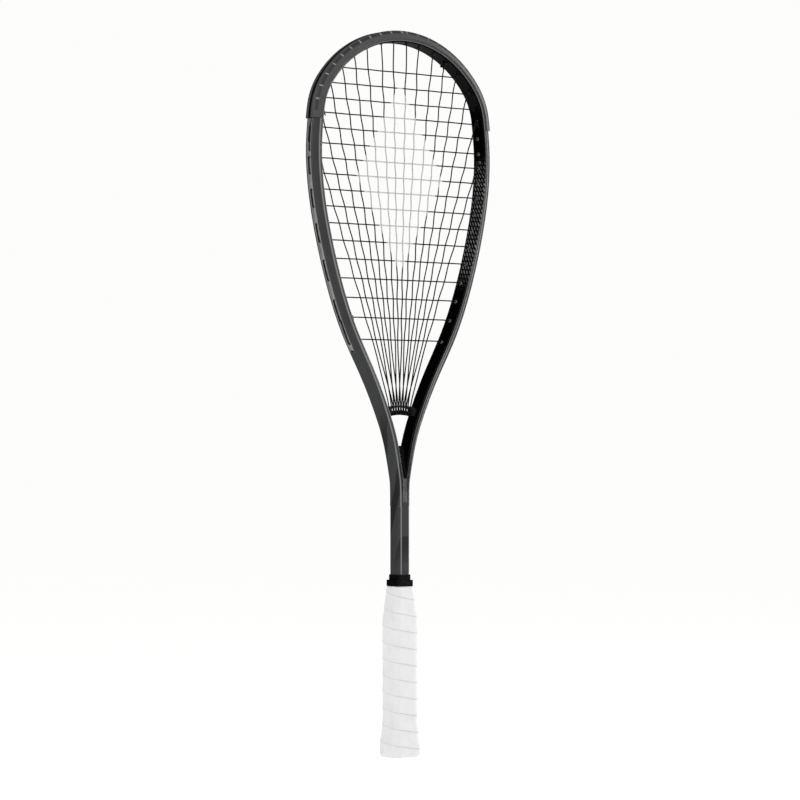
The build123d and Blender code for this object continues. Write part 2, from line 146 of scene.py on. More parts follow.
def newMaterial(name, roughness, specular=0.5, **sockets):
    material = bpy.data.materials.new(name)
    material.use_nodes = True
    tree = material.node_tree
    shader = tree.nodes["Principled BSDF"]
    shader.inputs["Roughness"].default_value = roughness
    shader.inputs["Specular IOR Level"].default_value = specular
    for socket, value in sockets.items():
        shader.inputs[socket.replace("_", " ")].default_value = value
    return material, tree, shader


def meshPiece(name, vertices, faces, material, smooth=True):
    mesh = bpy.data.meshes.new(name)
    mesh.from_pydata([tuple(v) for v in vertices], [], faces)
    mesh.validate()
    mesh.polygons.foreach_set("use_smooth", [smooth] * len(mesh.polygons))
    piece = bpy.data.objects.new(name, mesh)
    bpy.context.collection.objects.link(piece)
    mesh.materials.append(material)
    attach(piece, "root")
    return piece


studio = {
    "azimuth": -37.11, "elevation": -0.86,           # of the camera round the racket, in degrees
    "distance": 2.836, "lens": 135, "sensor": 36,
    "aim": (-3 * mm, -4.4 * mm, -6.7 * mm),          # from the middle of the racket
    "floor": "#fbfbfa", "floorTones": ("#7e7e7e", "#828282"), "floorGlow": 0.9,
    "floorHalf": 12, "floorDrop": 0.3 * mm, "floorMottle": 0.4,
    "world": "#fdfdfc", "backdrop": 1.0, "fill": 0.55, "mirrored": 0.1,
    # soft boxes, one each side of the camera and a strip that lights the edges from behind: name, metres to
    # the right of the racket, towards the camera and up, width in metres, watts
    "lights": [("keyLight", -1.4, 1.3, 1.1, 0.9, 10), ("fillLight", 1.5, 0.9, 0.7, 0.5, 5),
               ("rimLight", 1.5, -0.7, 0.5, 0.35, 10)],
    "lightHeight": 1.4,
    "cardTones": ("#030303", "#050505"), "cardHalf": 1.3, "cardBelow": 0.9, "cardMottle": 0.13,
    "cardPlace": (-1.15, 1.35, 0.55), "cardTurn": 40,
}


def stageSheet(name, corners, material):
    # one flat sheet that belongs to the studio and not to the racket
    mesh = bpy.data.meshes.new(name)
    mesh.from_pydata(corners, [], [(0, 1, 2, 3)])
    mesh.materials.append(material)
    sheet = bpy.data.objects.new(name, mesh)
    bpy.context.collection.objects.link(sheet)
    return sheet


def makeFloor():
    # plain pale floor just under the butt, which reflections don't show
    material, tree, shader = newMaterial("paleFloor", 0.9, 0.0, Emission_Color=linear(studio["floor"]),
                                         Emission_Strength=studio["floorGlow"])
    half = studio["floorHalf"]
    grain = addNode(tree, "TexNoise", Scale=2 * half / studio["floorMottle"], Detail=4.0)
    first, second = (linear(tone) for tone in studio["floorTones"])
    feed(tree, shader.inputs["Base Color"], addNode(tree, "Mix", "RGBA", grain, first, second))
    low = cadBox[0].z - studio["floorDrop"]
    corners = [(-half, -half, low), (half, -half, low), (half, half, low), (-half, half, low)]
    stageSheet("floor", corners, material).visible_glossy = False


def makeWorld():
    # the backdrop is white, gives the racket only part of that as fill light, and is dim in its reflections
    world = bpy.data.worlds.new("studio")
    world.use_nodes = True
    tree = world.node_tree
    white = linear(studio["world"])
    backdrop = addNode(tree, "Background", None, white, studio["backdrop"])
    fill = addNode(tree, "Background", None, white, studio["fill"])
    dim = addNode(tree, "Background", None, white, studio["mirrored"])
    rays = addNode(tree, "LightPath").node.outputs
    unseen = addNode(tree, "MixShader", None, rays["Is Glossy Ray"], fill, dim)
    blend = addNode(tree, "MixShader", None, rays["Is Camera Ray"], unseen, backdrop)
    feed(tree, tree.nodes["World Output"].inputs["Surface"], blend)
    bpy.context.scene.world = world


def makeCard(middle):
    # a black card that the gloss face on the right reflects, unseen by the camera itself
    material, tree, shader = newMaterial("blackCard", 1.0, 0.0)
    half, below = studio["cardHalf"], studio["cardBelow"]
    speckle = addNode(tree, "TexNoise", Scale=2 * half / studio["cardMottle"])
    first, second = (linear(tone) for tone in studio["cardTones"])
    feed(tree, shader.inputs["Base Color"], addNode(tree, "Mix", "RGBA", speckle, first, second))
    corners = [(-half, 0, -below), (half, 0, -below), (half, 0, half), (-half, 0, half)]
    card = stageSheet("card", corners, material)
    card.location = middle + Vector(studio["cardPlace"])
    card.rotation_euler = (0, 0, math.radians(studio["cardTurn"]))
    card.visible_camera = False
    card.visible_diffuse = False


def makeStudio():
    middle = (cadBox[0] + cadBox[1]) / 2
    azimuth, elevation = math.radians(studio["azimuth"]), math.radians(studio["elevation"])
    back = Vector((math.sin(azimuth) * math.cos(elevation), -math.cos(azimuth) * math.cos(elevation),
                   math.sin(elevation)))
    right = Vector((math.cos(azimuth), math.sin(azimuth), 0))
    data = bpy.data.cameras.new("camera")
    data.lens = studio["lens"]
    data.sensor_width = studio["sensor"]
    camera = bpy.data.objects.new("camera", data)
    camera.location = middle + Vector(studio["aim"]) + back * studio["distance"]
    camera.rotation_euler = (-back).to_track_quat("-Z", "Y").to_euler()
    bpy.context.collection.objects.link(camera)
    bpy.context.scene.camera = camera
    for name, sideways, forwards, height, width, power in studio["lights"]:
        lamp = bpy.data.lights.new(name, "AREA")
        lamp.shape = "RECTANGLE"
        lamp.size, lamp.size_y = width, studio["lightHeight"]
        lamp.energy = power
        light = bpy.data.objects.new(name, lamp)
        light.location = middle + right * sideways + back * forwards + Vector((0, 0, height))
        light.rotation_euler = (middle - light.location).to_track_quat("-Z", "Y").to_euler()
        bpy.context.collection.objects.link(light)
    makeFloor()
    makeWorld()
    makeCard(middle)
    bpy.context.scene.view_settings.view_transform = "Standard"


makeStudio()
print("studio ready")

# heights are from the butt
paint = {
    "charcoal": "#393a3b", "metallic": "#5c5c5d", "shape": "#232324", "edge": "#8e8e8f", "gloss": "#040404",
    "tow": "#b0b0b0",
    "headMiddle": 500 * mm, "glossAbove": 250 * mm, "webTop": 300 * mm, "webHalf": 7.5 * mm,
    "fleck": 0.4 * mm, "cloud": 28.57 * mm, "peel": 1.111 * mm, "peelDepth": 0.02 * mm,
    "shapeRise": 34 * mm, "shapeRun": 12 * mm,
    "shapesFrom": (172 * mm, 200 * mm), "shapesTo": (335 * mm, 300 * mm),
    # painted highlights: the light lines beside the ridges and the bright line along each edge, both in the edge
    # colour
    "lineFrom": (250 * mm, 8.7 * mm), "lineTo": (392 * mm, 9.8 * mm), "ridgeHighlightAmount": 0.8,
    "softEdge": 0.5 * mm, "edgeHighlightBevel": 1.1 * mm, "edgeHighlightAmount": 0.8,
    "towLength": 5.8 * mm, "towWidth": 3.1 * mm, "towGap": 0.95 * mm, "towAngle": -52, "towShow": 0.5,
    "towsFrom": (440 * mm, 470 * mm), "towsTo": (575 * mm, 545 * mm),
}


def makePaintedCarbon():
    # Carbon composite, moulded, sprayed satin charcoal outside and gloss black inside the hoop:
    # a fine metallic fleck, painted highlights along the ridges and edges, and woven tows that show through the
    # gloss.
    material, tree, shader = newMaterial("sprayedCarbonComposite", 0.38, 0.35, Coat_Weight=0.1,
                                         Coat_Roughness=0.15)
    position = addNode(tree, "NewGeometry", output="Position")
    normal = addNode(tree, "NewGeometry", output="Normal")
    x, y, z = addNode(tree, "SeparateXYZ", None, position).node.outputs
    normalX, normalY, normalZ = addNode(tree, "SeparateXYZ", None, normal).node.outputs
    # inner face: the normal points at the middle of the head, or across the throat
    down = addNode(tree, "Math", "SUBTRACT", paint["headMiddle"], z)
    centre = addNode(tree, "CombineXYZ", None, addNode(tree, "Math", "MULTIPLY", x, -1.0), 0.0, down)
    unit = addNode(tree, "VectorMath", "NORMALIZE", centre)
    facing = addNode(tree, "VectorMath", "DOT_PRODUCT", unit, normal)
    inwards = addNode(tree, "Math", "MULTIPLY", addNode(tree, "Math", "SIGN", x),
                      addNode(tree, "Math", "MULTIPLY", normalX, -1.0))
    looksIn = addNode(tree, "Math", "GREATER_THAN", addNode(tree, "Math", "MAXIMUM", facing, inwards), 0.5)
    onHoop = addNode(tree, "Math", "GREATER_THAN", z, paint["glossAbove"])
    inner = addNode(tree, "Math", "MULTIPLY", looksIn, onHoop)
    # the web between the legs is gloss too
    looksUp = addNode(tree, "Math", "GREATER_THAN", normalZ, 0.12)
    between = addNode(tree, "Math", "LESS_THAN", addNode(tree, "Math", "ABSOLUTE", x), paint["webHalf"])
    web = addNode(tree, "Math", "MULTIPLY", addNode(tree, "Math", "MULTIPLY", looksUp, between),
                  addNode(tree, "Math", "LESS_THAN", z, paint["webTop"]))
    inner = addNode(tree, "Math", "MAXIMUM", inner, web)
    # fleck of the metallic base coat, 0.4 mm: coarser than the real one so that it shows
    fleck = addNode(tree, "TexNoise", Vector=position, Scale=1 / paint["fleck"], Detail=2.0)
    cloud = addNode(tree, "TexNoise", Vector=position, Scale=1 / paint["cloud"], Detail=3.0)
    base = addNode(tree, "Mix", "RGBA", addNode(tree, "MapRange", "SMOOTHSTEP", fleck, 0.35, 0.75, 0.0, 0.35),
                   linear(paint["charcoal"]), linear(paint["metallic"]))
    base = addNode(tree, "Mix", "RGBA", addNode(tree, "MapRange", "SMOOTHSTEP", cloud, 0.4, 0.7, 0.0, 0.18),
                   base, linear(paint["shape"]))
    # darker slanted shapes on the legs and the shaft
    slant = addNode(tree, "Math", "ADD", addNode(tree, "Math", "MULTIPLY", z, 1 / paint["shapeRise"]),
                    addNode(tree, "Math", "MULTIPLY", y, 1 / paint["shapeRun"]))
    stripe = addNode(tree, "Math", "GREATER_THAN", addNode(tree, "Math", "PINGPONG", slant, 1.0), 0.62)
    where = addNode(tree, "Math", "MULTIPLY",
                    addNode(tree, "MapRange", "SMOOTHSTEP", z, *paint["shapesTo"], 0.0, 1.0),
                    addNode(tree, "MapRange", "SMOOTHSTEP", z, *paint["shapesFrom"], 0.0, 1.0))
    shapes = addNode(tree, "Math", "MULTIPLY", addNode(tree, "Math", "MULTIPLY", stripe, where), 0.85)
    base = addNode(tree, "Mix", "RGBA", shapes, base, linear(paint["shape"]))
    # painted highlight: thin light lines beside the front and back ridges, standing in for the light that they
    # catch
    (lineFrom, depthFrom), (lineTo, depthTo) = paint["lineFrom"], paint["lineTo"]
    halfDepth = addNode(tree, "MapRange", "SMOOTHSTEP", z, lineFrom, lineTo, depthFrom, depthTo)
    sunk = addNode(tree, "Math", "SUBTRACT", halfDepth, addNode(tree, "Math", "ABSOLUTE", y))
    ridgeHighlight = addNode(tree, "Math", "MULTIPLY",
                     addNode(tree, "MapRange", "SMOOTHSTEP", sunk, 0.05 * mm, 0.25 * mm, 0.0, 1.0),
                     addNode(tree, "MapRange", "SMOOTHSTEP", sunk, 1.0 * mm, 0.6 * mm, 0.0, 1.0))
    base = addNode(tree, "Mix", "RGBA", addNode(tree, "Math", "MULTIPLY", ridgeHighlight, paint["ridgeHighlightAmount"]), base,
                   linear(paint["edge"]))
    # painted highlight: a thin bright line where two faces meet, standing in for the light that the edge catches
    rounded = addNode(tree, "Bevel", 6, paint["edgeHighlightBevel"])
    turn = addNode(tree, "VectorMath", "DOT_PRODUCT", rounded, normal)
    edge = addNode(tree, "MapRange", "SMOOTHSTEP", turn, 0.985, 0.9, 0.0, paint["edgeHighlightAmount"])
    base = addNode(tree, "Mix", "RGBA", edge, base, linear(paint["edge"]))
    # tows of the outer ply, coarser than the real ones so that they show, on the right of the gloss face
    turned = addNode(tree, "VectorRotate", "X_AXIS", Vector=position, Angle=math.radians(paint["towAngle"]))
    alongX, alongY, alongZ = addNode(tree, "SeparateXYZ", None, turned).node.outputs
    flat = addNode(tree, "CombineXYZ", None, alongY, alongZ, 0.0)
    tows = addNode(tree, "TexBrick", 0.5, Vector=flat, Scale=1.0, Color1=(1, 1, 1, 1),
                   Color2=(0.5, 0.5, 0.5, 1), Mortar=(0, 0, 0, 1), Mortar_Size=paint["towGap"],
                   Brick_Width=paint["towLength"], Row_Height=paint["towWidth"])
    band = addNode(tree, "Math", "MULTIPLY",
                   addNode(tree, "MapRange", "SMOOTHSTEP", z, *paint["towsFrom"], 0.0, 1.0),
                   addNode(tree, "MapRange", "SMOOTHSTEP", z, *paint["towsTo"], 0.0, 1.0))
    band = addNode(tree, "Math", "MULTIPLY", band, addNode(tree, "Math", "GREATER_THAN", x, 0.0))
    towAmount = addNode(tree, "Math", "MULTIPLY", addNode(tree, "Math", "MULTIPLY", tows, band),
                        paint["towShow"])
    gloss = addNode(tree, "Mix", "RGBA", towAmount, linear(paint["gloss"]), linear(paint["tow"]))
    feed(tree, shader.inputs["Base Color"], addNode(tree, "Mix", "RGBA", inner, base, gloss))
    feed(tree, shader.inputs["Roughness"], addNode(tree, "Math", "MULTIPLY_ADD", inner, -0.2, 0.36))
    peel = addNode(tree, "TexNoise", Vector=position, Scale=1 / paint["peel"], Detail=2.0)      # orange peel
    feed(tree, shader.inputs["Normal"],
         addNode(tree, "Bump", Strength=0.25, Distance=paint["peelDepth"], Height=peel,
                 Normal=addNode(tree, "Bevel", 4, paint["softEdge"])))
    return material


nylon = {
    # colour and its darker or lighter patches
    "guard": ("#4e4e4f", "#555556"), "strip": ("#9a9a9a", "#6f6f70"), "yoke": ("#0c0c0c", "#1a1a1a"),
    "rib": ("#b8b8b9", "#9d9d9e"), "panel": ("#3e3e3f", "#343435"),
    # then the painted shade of the channel, the channel's half width, and the darker tone of faces that look
    # into the hoop
    "channelShade": "#1b1b1c", "channelHalf": 1.95 * mm, "inwardTone": "#2c2c2d",
    "cloud": 8.333 * mm, "grain": 0.3333 * mm, "grainDepth": 0.03 * mm, "softEdge": 0.3 * mm,
}


def makeNylon(name, colours, roughness, channelShade=False):
    # Nylon 66, injection moulded: even colour with a fine spark-eroded grain and slightly shiny worn edges.
    material, tree, shader = newMaterial(name, roughness, 0.45)
    position = addNode(tree, "NewGeometry", output="Position")
    x, y, z = addNode(tree, "SeparateXYZ", None, position).node.outputs
    cloud = addNode(tree, "TexNoise", Vector=position, Scale=1 / nylon["cloud"], Detail=4.0)
    base = addNode(tree, "Mix", "RGBA", addNode(tree, "MapRange", "SMOOTHSTEP", cloud, 0.35, 0.7, 0.0, 0.5),
                   linear(colours[0]), linear(colours[1]))
    # faces that look into the hoop, such as the barrel ends, are darker
    normal = addNode(tree, "NewGeometry", output="Normal")
    normalX = addNode(tree, "SeparateXYZ", None, normal, output="X")
    inwards = addNode(tree, "Math", "MULTIPLY", addNode(tree, "Math", "SIGN", x),
                      addNode(tree, "Math", "MULTIPLY", normalX, -1.0))
    inwardDarkening = addNode(tree, "MapRange", "SMOOTHSTEP", inwards, 0.3, 0.6, 0.0, 0.75)
    base = addNode(tree, "Mix", "RGBA", inwardDarkening, base, linear(nylon["inwardTone"]))
    # painted shade: a dark band down the middle of the guard, where the strings lie in its channel, stands in
    # for the shadow there
    if channelShade:
        fromMiddle = addNode(tree, "Math", "ABSOLUTE", y)
        channelShadeMask = addNode(tree, "Math", "LESS_THAN", fromMiddle, nylon["channelHalf"])
        base = addNode(tree, "Mix", "RGBA", channelShadeMask, base, linear(nylon["channelShade"]))
    feed(tree, shader.inputs["Base Color"], base)
    # grain a third of a millimetre across, coarser than a real spark-eroded one
    grain = addNode(tree, "TexNoise", Vector=position, Scale=1 / nylon["grain"], Detail=3.0)
    feed(tree, shader.inputs["Roughness"],
         addNode(tree, "MapRange", "SMOOTHSTEP", grain, 0.3, 0.7, roughness - 0.06, roughness + 0.1))
    feed(tree, shader.inputs["Normal"],
         addNode(tree, "Bump", Strength=0.35, Distance=nylon["grainDepth"], Height=grain,
                 Normal=addNode(tree, "Bevel", 4, nylon["softEdge"])))
    return material


stringLook = {
    "core": "#080809", "twistTone": "#262627", "ink": "#c9c9c9",
    "inkHeight": 547 * mm, "inkHalfWidth": 52 * mm, "inkHalfHeight": 92 * mm,
    "twist": 2.4166 * mm, "twistDepth": 0.03 * mm, "wear": 1.4286 * mm,
}


def makeStringNylon():
    # Nylon multifilament, wound and resin coated: near black with a light twist, and a plain diamond
    # of pale stencil ink across the middle of the bed.
    material, tree, shader = newMaterial("woundNylonString", 0.4, 0.4)
    position = addNode(tree, "NewGeometry", output="Position")
    x, y, z = addNode(tree, "SeparateXYZ", None, position).node.outputs
    # a wave of scale 1 repeats every tau / 10 metres; the twist is coarser than a real one so that it shows
    twist = addNode(tree, "TexWave", "DIAGONAL", output="Fac", Vector=position,
                    Scale=math.tau / 10 / stringLook["twist"], Distortion=1.5, Detail=2.0)
    core = addNode(tree, "Mix", "RGBA", addNode(tree, "MapRange", "SMOOTHSTEP", twist, 0.2, 0.9, 0.0, 0.4),
                   linear(stringLook["core"]), linear(stringLook["twistTone"]))
    sideways = addNode(tree, "Math", "DIVIDE", addNode(tree, "Math", "ABSOLUTE", x), stringLook["inkHalfWidth"])
    away = addNode(tree, "Math", "ABSOLUTE", addNode(tree, "Math", "SUBTRACT", z, stringLook["inkHeight"]))
    upwards = addNode(tree, "Math", "DIVIDE", away, stringLook["inkHalfHeight"])
    spread = addNode(tree, "Math", "ADD", sideways, upwards)
    worn = addNode(tree, "TexNoise", Vector=position, Scale=1 / stringLook["wear"], Detail=3.0)
    ink = addNode(tree, "Math", "MULTIPLY",
                  addNode(tree, "MapRange", "SMOOTHSTEP", spread, 1.0, 0.96, 0.0, 1.0),
                  addNode(tree, "MapRange", "SMOOTHSTEP", worn, 0.3, 0.45, 0.6, 1.0))
    feed(tree, shader.inputs["Base Color"], addNode(tree, "Mix", "RGBA", ink, core, linear(stringLook["ink"])))
    feed(tree, shader.inputs["Roughness"], addNode(tree, "Math", "MULTIPLY_ADD", ink, 0.2, 0.42))
    feed(tree, shader.inputs["Normal"],
         addNode(tree, "Bump", Strength=0.4, Distance=stringLook["twistDepth"], Height=twist))
    return material


felt = {
    # the two felt tones, then the grey of the painted shade along each seam and how strongly it is laid on
    "tones": ("#f3f3f4", "#eeeeef"), "seamShade": "#9c9c9f", "seamShadeAmount": 0.75,
    "mottle": 11.111 * mm, "pebble": 0.9091 * mm, "crease": 6.25 * mm, "depth": 0.3 * mm,
}


def makeOvergrip():
    # Polyurethane on non-woven felt, coated: chalky white, very soft sheen and a fine pressed pebble.
    material, tree, shader = newMaterial("coatedOvergripFelt", 0.62, 0.35, Sheen_Weight=0.25,
                                         Sheen_Roughness=0.5, Subsurface_Weight=0.05,
                                         Subsurface_Scale=1 * mm)
    position = addNode(tree, "NewGeometry", output="Position")
    mottle = addNode(tree, "TexNoise", Vector=position, Scale=1 / felt["mottle"], Detail=5.0)
    tone = addNode(tree, "Mix", "RGBA", addNode(tree, "MapRange", "SMOOTHSTEP", mottle, 0.35, 0.7, 0.0, 1.0),
                   *(linear(tone) for tone in felt["tones"]))
    # painted shade: the thin edge of each turn is darkened, standing in for the soft shadow along the seam
    edge = addNode(tree, "Attribute", "seam", output="Fac")
    tone = addNode(tree, "Mix", "RGBA", addNode(tree, "Math", "MULTIPLY", edge, felt["seamShadeAmount"]), tone,
                   linear(felt["seamShade"]))
    feed(tree, shader.inputs["Base Color"], tone)
    pebble = addNode(tree, "TexVoronoi", "SMOOTH_F1", Vector=position, Scale=1 / felt["pebble"])
    creases = addNode(tree, "TexNoise", Vector=position, Scale=1 / felt["crease"], Detail=3.0, Distortion=1.2)
    height = addNode(tree, "Math", "MULTIPLY_ADD", creases, 0.8, addNode(tree, "Math", "MULTIPLY", pebble, 0.5))
    feed(tree, shader.inputs["Normal"],
         addNode(tree, "Bump", Strength=0.7, Distance=felt["depth"], Height=height))
    return material


def makeFitting(name, colours, roughness, grainSize, depth, specular=0.5, metallic=0.0):
    # grained finish for the small fittings, with softened edges
    material, tree, shader = newMaterial(name, roughness, specular, Metallic=metallic)
    position = addNode(tree, "NewGeometry", output="Position")
    grain = addNode(tree, "TexNoise", Vector=position, Scale=1 / grainSize, Detail=4.0)
    amount = addNode(tree, "MapRange", "SMOOTHSTEP", grain, 0.3, 0.7, 0.0, 1.0)
    feed(tree, shader.inputs["Base Color"],
         addNode(tree, "Mix", "RGBA", amount, linear(colours[0]), linear(colours[1])))
    feed(tree, shader.inputs["Roughness"],
         addNode(tree, "MapRange", "SMOOTHSTEP", grain, 0.3, 0.7, roughness - 0.05, roughness + 0.08))
    feed(tree, shader.inputs["Normal"],
         addNode(tree, "Bump", Strength=0.4, Distance=depth, Height=grain,
                 Normal=addNode(tree, "Bevel", 4, 0.35 * mm)))
    return material


# Each fitting has its colours, roughness, grain size and grain depth, then specular and metallic where they
# differ. The grains of the rubber, tape, cap and wire are coarser than real ones, which are too fine to show.
fittings = {
    # rubber, moulded smooth: deep black, with slow patches in its shine
    "mouldedSmoothRubber": (("#060606", "#0c0c0c"), 0.24, 2.5 * mm, 0.02 * mm),
    # PVC, calendered: black, slightly glossy and faintly uneven
    "calenderedVinylTape": (("#0b0b0b", "#171717"), 0.3, 2.0 * mm, 0.02 * mm),
    # ABS, moulded: dark grey with a fine texture
    "mouldedCapPlastic": (("#1b1b1c", "#252526"), 0.45, 0.6667 * mm, 0.04 * mm),
    # polyurethane foam, moulded: matt, with open cells about half a millimetre across
    "mouldedPolyurethaneFoam": (("#3c3b38", "#4a4944"), 0.7, 0.5556 * mm, 0.1 * mm, 0.3),
    # synthetic leather, embossed: dark, with pores about a millimetre apart
    "embossedSyntheticLeather": (("#1c1b1b", "#2a2928"), 0.55, 1.111 * mm, 0.1 * mm, 0.4),
    # galvanised steel wire, drawn: bright grey with dull patches
    "drawnGalvanisedWire": (("#a9abad", "#8b8d90"), 0.3, 0.4 * mm, 0.01 * mm, 0.5, 1.0),
}

fitted = {name: makeFitting(name, *values) for name, values in fittings.items()}
stripNylon = makeNylon("mouldedPaleNylon", nylon["strip"], 0.42)
stringNylon = makeStringNylon()
overgripFelt = makeOvergrip()
nodeFinish = {
    "frame": makePaintedCarbon(),
    "bumper_guard": makeNylon("mouldedGreyNylon", nylon["guard"], 0.42, True),
    "left_grommet_strip": stripNylon, "right_grommet_strip": stripNylon,
    "throat_yoke": makeNylon("mouldedBlackNylon", nylon["yoke"], 0.34),
    "main_string": stringNylon, "cross_string": stringNylon,
    "handle_pallet": fitted["mouldedPolyurethaneFoam"], "butt_cap": fitted["mouldedCapPlastic"],
    "butt_cap_staples": fitted["drawnGalvanisedWire"], "base_grip": fitted["embossedSyntheticLeather"],
    "base_grip_staple": fitted["drawnGalvanisedWire"], "finishing_tape": fitted["calenderedVinylTape"],
    "overgrip": overgripFelt, "overgrip_tape": fitted["calenderedVinylTape"],
    "rubber_collar": fitted["mouldedSmoothRubber"],
}
for name, material in nodeFinish.items():
    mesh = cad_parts[name].data
    mesh.materials.clear()
    mesh.materials.append(material)
print("materials ready")

bed = {
    "radius": 0.6 * mm,
    "offset": 0.68 * mm,         # of the mains in front and the crosses behind, where they pass through the beam
    # height of each cross and, at midHeight, each main's distance from the middle on one side, in mm
    "crosses": [647, 632, 617.5, 603.5, 589.5, 575, 561, 546.5, 532, 516.5, 501, 485, 468, 450, 432, 413.5, 393],
    "mains": [4.1, 12.1, 21.3, 30.1, 39.1, 49.1, 59.8, 70.9],
    "midHeight": 500 * mm, "pivot": 332 * mm, "yokePitch": 1.47 * mm, "yokeRow": 2.3 * mm,
    "aboveYoke": 352 * mm, "barHeight": 325.2 * mm, "archRadius": 50.5 * mm,
    "groove": hoop["beam"] / 2 - 0.2 * mm, "mouth": -(hoop["beam"] / 2 + 1.6 * mm),
    "barrel": (4.5, 3.4, 1.5, -3.5, -6.3),       # mm outwards, from the groove to the inside of the hoop
    "tieInside": 0.9 * mm, "tieAside": 2.3 * mm,
    "weave": 1.2 * mm,           # control points this far out leave the strings half as far from the mid-plane
}
crossPlaces = [placeAt(height * mm, bed["mouth"]) for height in bed["crosses"]]


def mainLine(index, height):
    # distance from the middle of main string number index, counted from the middle, at a height
    atYoke = bed["yokePitch"] * (index + 0.5)
    share = (height - bed["pivot"]) / (bed["midHeight"] - bed["pivot"])
    return atYoke + (bed["mains"][index] * mm - atYoke) * share


def mainPlace(index):
    # place where that string meets the beam
    mouths = beamLine + bed["mouth"] * beamOut
    inside = np.array([mainLine(index, z) - x for x, z in mouths])
    first = int(np.argmax(inside < 0))
    return float(np.interp(0, -inside[first - 1:first + 1], beamAlong[first - 1:first + 1]))


sideCount = len(bed["mains"])
mainPlaces = [mainPlace(index) for index in range(sideCount)]


def throughHole(place, depth, inwards):
    # the string turns from the groove into a barrel
    points = [beamPoint(place, outward * mm, depth) for outward in bed["barrel"]]
    return points if inwards else points[::-1]


def alongGroove(start, end, startDepth, endDepth):
    # round the outside of the beam, close to each hole at first so that the turn is sharp
    length = end - start
    nearby = min(1.1 * mm, abs(length) / 4) * (1 if length > 0 else -1)
    count = max(3, int(abs(length) / (6 * mm)) + 2)
    stops = [start + nearby, *np.linspace(start, end, count)[1:-1], end - nearby]
    slope = (endDepth - startDepth) / length
    return [beamPoint(stop, bed["groove"], startDepth + slope * (stop - start)) for stop in stops]


def tiedEnd(place, depth):
    # where a string's end is tied off, just inside the hoop
    outer = -1 if depth < 0 else 1
    return beamPoint(place, bed["mouth"] - bed["tieInside"], depth + outer * bed["tieAside"])


def sideAndIndex(number):
    # main strings are numbered from the left, and each side's are counted from the middle
    return (-1, sideCount - 1 - number) if number < sideCount else (1, number - sideCount)


def mainRun(number):
    # one main string from its hole down to the yoke: over and under the crosses, then round the bar
    side, index = sideAndIndex(number)
    points = []
    mouthZ = beamPoint(mainPlaces[index], bed["mouth"]).z
    for row, height in enumerate(bed["crosses"]):
        if height * mm < mouthZ - 3 * mm:
            front = -1 if (number + row) % 2 == 0 else 1
            points.append(Vector((side * mainLine(index, height * mm), front * bed["weave"], height * mm)))
    depth = bed["yokeRow"] * (1 if number % 2 == 0 else -1)
    x = side * mainLine(index, bed["pivot"])
    drop = bed["archRadius"] - math.sqrt(bed["archRadius"] ** 2 - x ** 2)
    bar = bed["barHeight"] - drop
    points += [Vector((side * mainLine(index, bed["aboveYoke"]), depth * 0.62, bed["aboveYoke"])),
               Vector((x, depth, bed["pivot"])), Vector((x, depth, bar)),
               Vector((x, depth * 0.9, bar - 1.8 * mm)), Vector((x, depth * 0.3, bar - 2.5 * mm))]
    return points if number % 2 == 0 else points[::-1]


def crossRun(row, side):
    # one cross string from its hole on that side to the other
    height = bed["crosses"][row] * mm
    points = []
    for number in range(2 * sideCount):
        stringSide, index = sideAndIndex(number)
        x = stringSide * mainLine(index, height)
        if abs(x) < beamPoint(crossPlaces[row], bed["mouth"] - 1.5 * mm).x:
            front = 1 if (number + row) % 2 == 0 else -1
            points.append(Vector((x, front * bed["weave"], height)))
    return points if side < 0 else points[::-1]


def stringPiece(name, points, replaced):
    curve = bpy.data.curves.new(name, "CURVE")
    curve.dimensions = "3D"
    spline = curve.splines.new("NURBS")
    spline.points.add(len(points) - 1)
    for point, target in zip(spline.points, points):
        point.co = (*target, 1)
    spline.order_u = 3
    spline.use_endpoint_u = True
    spline.resolution_u = 5
    curve.bevel_depth = bed["radius"]
    curve.bevel_resolution = 3
    curve.use_fill_caps = True
    curve.materials.append(stringNylon)
    piece = bpy.data.objects.new(name, curve)
    bpy.context.collection.objects.link(piece)
    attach(piece, "root")
    if replaced:
        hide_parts(replaced)


def knotPiece(name, centre):
    # overhand knot round the neighbouring string, with its cut tail
    loops = []
    for step in range(26):
        t = step / 26 * 2 * math.pi * 1.02
        loops.append(Vector(((math.sin(t) + 2 * math.sin(2 * t)) * 0.42,
                             (math.cos(t) - 2 * math.cos(2 * t)) * 0.42,
                             -math.sin(3 * t) * 0.6)) * mm * 1.05 + centre)
    tail = [centre + Vector((1.0, -0.8, -1.6)) * mm, centre + Vector((1.4, -1.0, -3.4)) * mm]
    stringPiece(name, loops + tail, None)


def makeStrings():
    front, back = -bed["offset"], bed["offset"]
    signed = [-place for place in reversed(mainPlaces)] + mainPlaces
    tie = crossPlaces[3]
    route = [tiedEnd(-tie, front)] + throughHole(-tie, front, False) + alongGroove(-tie, signed[0], front, front)
    for number, hole in enumerate(signed):
        if number % 2 == 0:
            route += throughHole(hole, front, True) + mainRun(number)
        else:
            following = (signed + [tie])[number + 1]
            route += mainRun(number) + throughHole(hole, front, False)
            route += alongGroove(hole, following, front, front)
    route += throughHole(tie, front, True) + [tiedEnd(tie, front)]
    stringPiece("woven_main_string", route, "main_string")
    upper, lower = mainPlaces[3], -crossPlaces[-2]
    ends = [tiedEnd(-tie, front), tiedEnd(tie, front), tiedEnd(upper, back), tiedEnd(lower, front)]
    route = [ends[2]] + throughHole(upper, back, False) + alongGroove(upper, crossPlaces[0], back, back)
    for row, hole in enumerate(crossPlaces):
        side = 1 if row % 2 == 0 else -1
        route += throughHole(side * hole, back, True) + crossRun(row, side)
        route += throughHole(-side * hole, back, False)
        if row < len(crossPlaces) - 1:
            route += alongGroove(-side * hole, -side * crossPlaces[row + 1], back, back)
    route += alongGroove(-crossPlaces[-1], lower, back, front) + throughHole(lower, front, True) + [ends[3]]
    stringPiece("woven_cross_string", route, "cross_string")
    for name, centre in zip(("left_main_knot", "right_main_knot", "upper_cross_knot", "lower_cross_knot"), ends):
        knotPiece(name, centre)


makeStrings()
print("strings woven")

